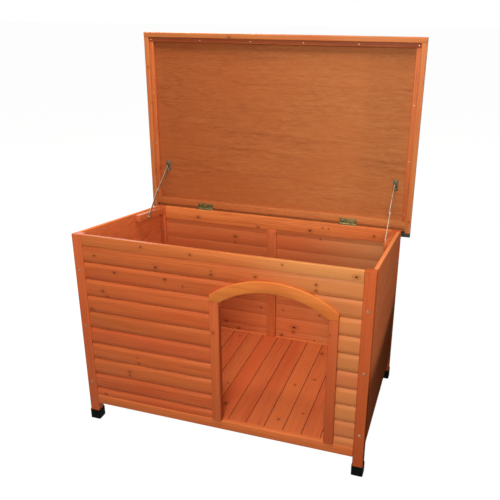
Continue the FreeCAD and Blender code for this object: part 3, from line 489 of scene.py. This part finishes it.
# painted light: the left sheet has lighter tones than the right one, a lit copy of the same
# plywood standing in for light on its inner face
panel_tones = {"left": ((0.70, 0.180, 0.056), (0.46, 0.100, 0.032)),
               "right": ((0.62, 0.180, 0.066), (0.42, 0.105, 0.042))}
block_wood = stained_pine("stay_block_pine", "Y", (0.58, 0.150, 0.042), inner_dark, 63.0)
for side in ("left", "right"):
    # the sheet's top edge is painted paler, partly a painted highlight of the light from above
    panel_wood = stained_plywood("side_panel_plywood_" + side, "Y", *panel_tones[side], 61.0,
                                 sawn_edge_highlight=True)
    board("side_panel_" + side, "side_sheet_" + side, "house", panel_wood,
          eased=0.0008)
    board("stay_block_" + side, "block_" + side, "house", block_wood,
          eased=0.0015)


# ---- floor -------------------------------------------------------------------------------
# Fifteen planks laid front to back with narrow gaps, nailed down on three bearers that
# run from side to side.
plank_pitch, plank_top = 0.063, 0.101
plank_wood = stained_pine(
    "plank_pine", "Y", (0.53, 0.124, 0.037), (0.37, 0.068, 0.021), 71.0,
    boards=(1, plank_pitch, -plank_pitch / 2),
    knots=tuple((x, y, plank_top, radius) for x, y, radius in (
        (-0.008, -0.232, 0.0055), (-0.044, -0.112, 0.0028), (0.250, 0.008, 0.0045),
        (0.191, -0.047, 0.0030), (0.233, 0.197, 0.0050), (-0.123, 0.228, 0.0035),
        (0.261, -0.203, 0.0035), (0.193, -0.260, 0.0032))))
board("floor_planks", "plank_rows", "house", plank_wood, eased=0.0010)
board("floor_bearers", "bearer_sticks", "house", block_wood, eased=0.0010)


# ---- roof: sheet, battens and edge boards ------------------------------------------------
# A sheet of stained plywood with battens under its edges and deeper edge boards round the
# front and sides; it is the lid of the house.
# painted light and shade: the sheet is painted paler and yellower towards the right, as lit
# from the right, and darker towards its top, painted shade
sheet_wood = stained_plywood(
    "roof_sheet_plywood", "X", (0.51, 0.158, 0.043), (0.31, 0.077, 0.021), 81.0,
    painted_light_ramps=((0, -0.45, 0.42, (0.91, 0.85, 0.90), (1.03, 1.20, 1.38)),
            (2, 0.70, 1.25, (1.06, 1.08, 1.10), (0.91, 0.91, 0.93))))
board("lid_deck", "roof_sheet", "lid", sheet_wood, eased=0.0006)
edge_tones = (0.61, 0.205, 0.060), (0.45, 0.122, 0.034)
edge_face = 0.293
edge_wood_x = stained_pine("edge_board_pine_x", "X", *edge_tones, 83.0,
                           knots_on(edge_face, ((-0.177, 1.276, 0.0035),)))
edge_wood_z = stained_pine(
    "edge_board_pine_z", "Z", *edge_tones, 85.0,
    knots_on(edge_face, ((-0.508, 1.161, 0.003), (-0.500, 1.028, 0.003),
                         (0.514, 0.651, 0.003))))
# painted shadow: the front batten is a darker copy of the batten pine, standing in for the
# shadow that the front edge board casts on it
shaded_batten_wood_x = stained_pine("roof_batten_pine_painted_shade_x", "X", (0.40, 0.100, 0.030),
                            (0.27, 0.055, 0.017), 87.0)
under_wood_z = stained_pine("roof_batten_pine_z", "Z", (0.60, 0.165, 0.048),
                            (0.36, 0.075, 0.022), 89.0)
board("lid_fascia_front", "edge_board_front", "lid", edge_wood_x, eased=0.0015)
board("lid_batten_front", "roof_batten_front", "lid", shaded_batten_wood_x,
      eased=0.0012)
board("lid_batten_back", "roof_batten_back", "lid", sheet_wood, eased=0.0008)
for side in ("left", "right"):
    board("lid_fascia_" + side, "edge_board_" + side, "lid", edge_wood_z,
          eased=0.0015)
    board("lid_batten_" + side, "roof_batten_" + side, "lid", under_wood_z,
          eased=0.0012)


# ---- roof: felt --------------------------------------------------------------------------
# Black-green bitumen felt with a mineral face, nailed over the sheet and left hanging a
# little at the back.
felt, tree, shader = new_material("mineral_felt")
where = object_place(tree)
grains = add(tree, "ShaderNodeTexVoronoi")
grains.inputs["Scale"].default_value = 520
link(tree, where, grains.inputs["Vector"])
patch = stretched_noise(tree, where, (14, 14, 14), 4)
speck = add(tree, "ShaderNodeSeparateColor")
link(tree, grains.outputs["Color"], speck.inputs[0])
mineral = tint(tree, ramp(tree, speck.outputs[0], 0.5, 1.0), (0.022, 0.029, 0.025),
               (0.115, 0.125, 0.112))
link(tree, tint(tree, ramp(tree, patch, 0.38, 0.7, 0, 0.7), mineral, (0.018, 0.022, 0.019)),
     shader.inputs["Base Color"])
shader.inputs["Roughness"].default_value = 0.85
emboss(tree, shader, grains.outputs["Distance"], 0.6, 0.0006)
board("lid_felt", "felt_sheet", "lid", felt, eased=0.0)


# ---- hinges, stays, screws and nails -----------------------------------------------------
# Pressed steel butt hinges with a dull yellow plating, screwed to the back rail and the
# roof. The folding stays, brackets, screws and nails are zinc plated; most screw heads
# have gone dull.
def plated_steel(name, colour, worn, rough):
    material, tree, shader = new_material(name)
    where = object_place(tree)
    cloud = stretched_noise(tree, where, (90, 90, 90), 3)
    fine = stretched_noise(tree, where, (900, 900, 900), 2)
    link(tree, tint(tree, ramp(tree, cloud, 0.35, 0.7), colour, worn),
         shader.inputs["Base Color"])
    link(tree, sum_up(tree, "MULTIPLY_ADD", fine, 0.16, rough - 0.08),
         shader.inputs["Roughness"])
    shader.inputs["Metallic"].default_value = 0.75
    return material


hinge_metal = plated_steel("hinge_plate", (0.21, 0.165, 0.06), (0.10, 0.09, 0.04), 0.42)
stay_metal = plated_steel("stay_plate", (0.36, 0.31, 0.21), (0.22, 0.19, 0.13), 0.55)
bracket_metal = plated_steel("bracket_plate", (0.13, 0.10, 0.055), (0.06, 0.05, 0.03), 0.5)
screw_metal = plated_steel("screw_plate", (0.72, 0.62, 0.42), (0.45, 0.38, 0.25), 0.50)
dull_metal = plated_steel("dull_screw_plate", (0.34, 0.28, 0.17), (0.16, 0.13, 0.07), 0.50)
hinge_kit = (
    ("hinge_house_leaf_", "house_leaf_", "house", hinge_metal, "plated_steel", 0.00015),
    ("hinge_lid_leaf_", "roof_leaf_", "lid", hinge_metal, "plated_steel", 0.00015),
    ("hinge_pin_", "hinge_rod_", "house", hinge_metal, "plated_steel", 0.0002),
    ("stay_lower_arm_", "lower_strap_", "stay_lower_arm_", stay_metal, "zinc_steel", 0.0002),
    ("stay_upper_arm_", "upper_strap_", "stay_upper_arm_", stay_metal, "zinc_steel", 0.0002),
    ("stay_bracket_", "roof_bracket_", "lid", bracket_metal, "zinc_steel", 0.0002),
    ("stay_pivot_screw_", "pivot_screw_", "house", screw_metal, "zinc_steel", 0.0002))
for side in ("left", "right"):
    for node, name, body, metal, slot, eased in hinge_kit:
        # the arms are bodies of their own, one on each side
        rides = body + side if body.endswith("_") else body
        board(node + side, name + side, rides, metal, eased=eased, smooth=40)
for node, name, body, metal in (
        ("post_screws", "post_screw_heads", "house", dull_metal),
        ("hinge_screws_house", "house_leaf_screw_heads", "house", dull_metal),
        ("lid_screws", "roof_screw_heads", "lid", dull_metal),
        ("lid_nails", "roof_nail_heads", "lid", screw_metal)):
    board(node, name, body, metal, eased=0.0, smooth=40)


# ---- ground and light --------------------------------------------------------------------
# A white sweep under the house. Broad soft lamps stand above the open roof, in front
# beside the viewer and behind; a spot lamp on the right lights the upper part of that wall.
def plain_white_rays(tree):
    """1 for the rays that see the surroundings as plain white, 0 for light itself."""
    rays = add(tree, "ShaderNodeLightPath")
    seen = sum_up(tree, "MAXIMUM", rays.outputs["Is Camera Ray"],
                  rays.outputs["Is Glossy Ray"])
    return sum_up(tree, "MAXIMUM", seen, rays.outputs["Is Transmission Ray"])


bpy.ops.object.select_all(action="DESELECT")
bpy.ops.mesh.primitive_plane_add(size=60, location=(0, 0, -0.001))
ground = bpy.context.object
ground.name = "ground"
ground_paint = bpy.data.materials.new("white_sweep")
ground_paint.use_nodes = True
tree = ground_paint.node_tree
tree.nodes.clear()
paper = add(tree, "ShaderNodeBsdfDiffuse")
paper.inputs["Color"].default_value = (0.09, 0.085, 0.08, 1)
glow = add(tree, "ShaderNodeEmission")
glow.inputs["Color"].default_value = (1, 1, 1, 1)
paper_white = 0.97
link(tree, sum_up(tree, "MULTIPLY", plain_white_rays(tree), paper_white),
     glow.inputs["Strength"])
both = add(tree, "ShaderNodeAddShader")
link(tree, paper.outputs[0], both.inputs[0])
link(tree, glow.outputs[0], both.inputs[1])
link(tree, both.outputs[0], add(tree, "ShaderNodeOutputMaterial").inputs["Surface"])
ground.data.materials.append(ground_paint)

world = bpy.data.worlds.new("studio")
bpy.context.scene.world = world
world.use_nodes = True
tree = world.node_tree
tree.nodes.clear()
room = add(tree, "ShaderNodeBackground")
room.inputs["Color"].default_value = (1.0, 0.97, 0.93, 1)
room.inputs["Strength"].default_value = 0.13
white = add(tree, "ShaderNodeBackground")
white.inputs["Color"].default_value = (1, 1, 1, 1)
white.inputs["Strength"].default_value = 1.0
choose = add(tree, "ShaderNodeMixShader")
link(tree, plain_white_rays(tree), choose.inputs[0])
link(tree, room.outputs[0], choose.inputs[1])
link(tree, white.outputs[0], choose.inputs[2])
link(tree, choose.outputs[0], add(tree, "ShaderNodeOutputWorld").inputs["Surface"])


def lamp(name, location, target, size, power, colour, cone=None):
    """A square lamp, or a spot lamp where cone gives its angle in degrees."""
    bpy.ops.object.light_add(type="SPOT" if cone else "AREA", location=location)
    light = bpy.context.object
    light.name = name
    if cone:
        light.data.spot_size = math.radians(cone)
        light.data.spot_blend = 0.09
        light.data.shadow_soft_size = size
    else:
        light.data.shape = "SQUARE"
        light.data.size = size
    light.data.energy = power
    light.data.color = colour
    light.visible_camera = False
    way = Vector(target) - Vector(location)
    light.rotation_euler = way.to_track_quat("-Z", "Y").to_euler()


lamp("overhead_lamp", (0.0, -1.0, 4.2), (0, -0.1, 0.6), 1.3, 116, (1.0, 0.98, 0.95))
lamp("front_lamp", (0.6, -2.9, 1.7), (0, 0, 0.6), 1.0, 71, (1.0, 0.97, 0.92))
lamp("back_lamp", (-1.9, 3.2, 2.6), (0, 0, 0.6), 1.6, 75, (1.0, 0.98, 0.95))
lamp("side_lamp", (3.2, -0.05, 1.75), (0, -0.05, 1.75), 0.03, 142, (1.0, 0.97, 0.92),
     cone=56.9)

bpy.context.scene.view_settings.view_transform = "Standard"
